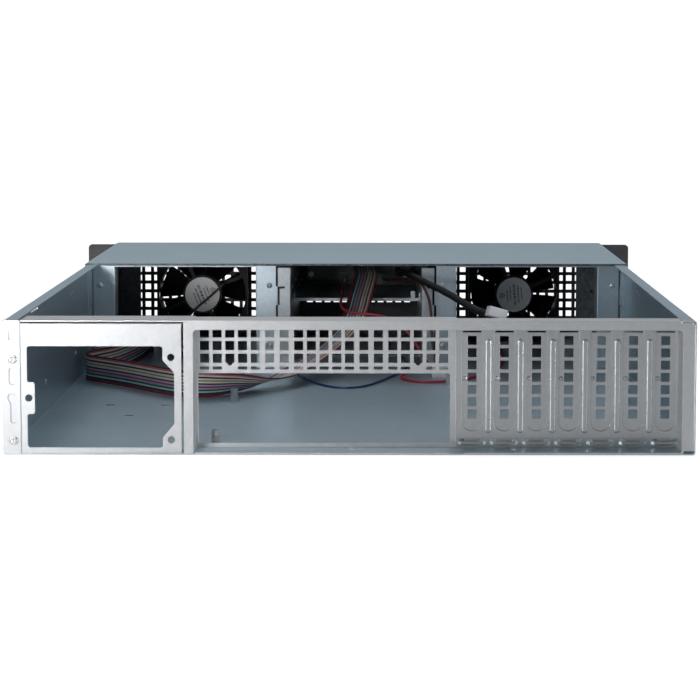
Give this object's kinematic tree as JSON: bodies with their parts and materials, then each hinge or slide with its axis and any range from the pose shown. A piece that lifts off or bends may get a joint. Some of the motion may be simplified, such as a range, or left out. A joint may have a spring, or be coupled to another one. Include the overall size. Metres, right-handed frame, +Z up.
{
  "type": "empty rackmount server case",
  "caption": "Empty rackmount server case with its rear lid off: steel tray, slotted rear wall, front cover, drive cage, rear-facing fans and loose internal leads.",
  "frame": {"origin": "middle of the footprint on the underside, cords left out", "axes": "+X to the right seen from the rear, +Y from the rear face to the front panel, +Z up"},
  "size_m": [0.4826, 0.5206, 0.091],
  "materials": {
    "galvanised": "galvanised steel, satin",
    "bay_steel": "galvanised steel, satin",
    "cover_steel": "galvanised steel, satin",
    "black_panel": "black powder coat",
    "fan_black": "black moulded plastic",
    "label_silver": "printed foil label, bare",
    "screw_zinc": "bright zinc",
    "screw_black": "black screw",
    "rivet_steel": "bright rivets",
    "board_green": "circuit board",
    "spacer_white": "nylon",
    "button_black": "moulded plastic",
    "led_clear": "lens plastic",
    "usb_metal": "plated shell",
    "ribbon": "striped ribbon insulation",
    "plug_black": "moulded plastic",
    "cable_black": "cable jacket",
    "plug_white": "moulded nylon",
    "wire_blue": "wire insulation",
    "lead_red": "wire insulation",
    "lead_brown": "wire insulation",
    "lead_dark": "wire insulation"
  },
  "bodies": {
    "case": {"chassis_tray": "galvanised", "rear_frame": "galvanised", "rear_wall": "galvanised", "slot_wall": "galvanised", "ear_bracket_right": "bay_steel", "ear_bracket_left": "bay_steel", "psu_plate": "galvanised", "psu_plate_screws": "screw_zinc", "slot_cover_screws": "screw_zinc", "bay_frame_right": "bay_steel", "bay_frame_left": "bay_steel", "bay_rivets": "rivet_steel", "side_bracket_right": "bay_steel", "side_bracket_left": "bay_steel", "drive_cage": "bay_steel", "drive_shelf": "bay_steel", "front_cover": "cover_steel", "cover_screws": "screw_zinc", "front_panel": "black_panel", "panel_screws": "screw_black", "fan_screws": "screw_black", "bracket_nuts": "screw_zinc", "fan_frame_left": "fan_black", "fan_label_left": "label_silver", "fan_frame_right": "fan_black", "fan_label_right": "label_silver", "board_standoffs": "screw_zinc", "floor_rivets": "rivet_steel", "control_board": "board_green", "board_spacers": "spacer_white", "led_lenses": "led_clear", "usb_ports": "usb_metal", "ribbon_cable": "ribbon", "ribbon_plug_floor": "plug_black", "ribbon_plug_board": "plug_black", "usb_cable": "cable_black", "usb_plug": "plug_white", "blue_wire": "wire_blue", "blue_wire_plugs": "plug_black", "fan_lead_right": "lead_red", "lead_connector": "plug_white", "red_lead": "lead_red", "brown_lead": "lead_brown", "fan_lead_left": "lead_dark", "fan_lead_left_plug": "plug_black", "slot_cover_1": "galvanised", "slot_cover_2": "galvanised", "slot_cover_3": "galvanised", "slot_cover_4": "galvanised", "slot_cover_5": "galvanised", "slot_cover_6": "galvanised", "slot_cover_7": "galvanised"},
    "left_rotor": {"fan_rotor_left": "fan_black"},
    "right_rotor": {"fan_rotor_right": "fan_black"},
    "power_cap": {"power_button": "button_black"},
    "reset_cap": {"reset_button": "button_black"}
  },
  "joints": [
    {"name": "left_fan_spin", "type": "hinge", "parent": "case", "child": "left_rotor", "pos_m": [-0.1375, 0.24535, 0.04155], "axis": [0, 1, 0], "continuous": true},
    {"name": "right_fan_spin", "type": "hinge", "parent": "case", "child": "right_rotor", "pos_m": [0.1375, 0.24535, 0.04155], "axis": [0, 1, 0], "continuous": true},
    {"name": "power_press", "type": "slide", "parent": "case", "child": "power_cap", "axis": [0, -1, 0], "range_m": [0, 0.0012], "stiffness_N_per_m": 300, "springref_m": -0.002},
    {"name": "reset_press", "type": "slide", "parent": "case", "child": "reset_cap", "axis": [0, -1, 0], "range_m": [0, 0.0012], "stiffness_N_per_m": 300, "springref_m": -0.002}
  ]
}
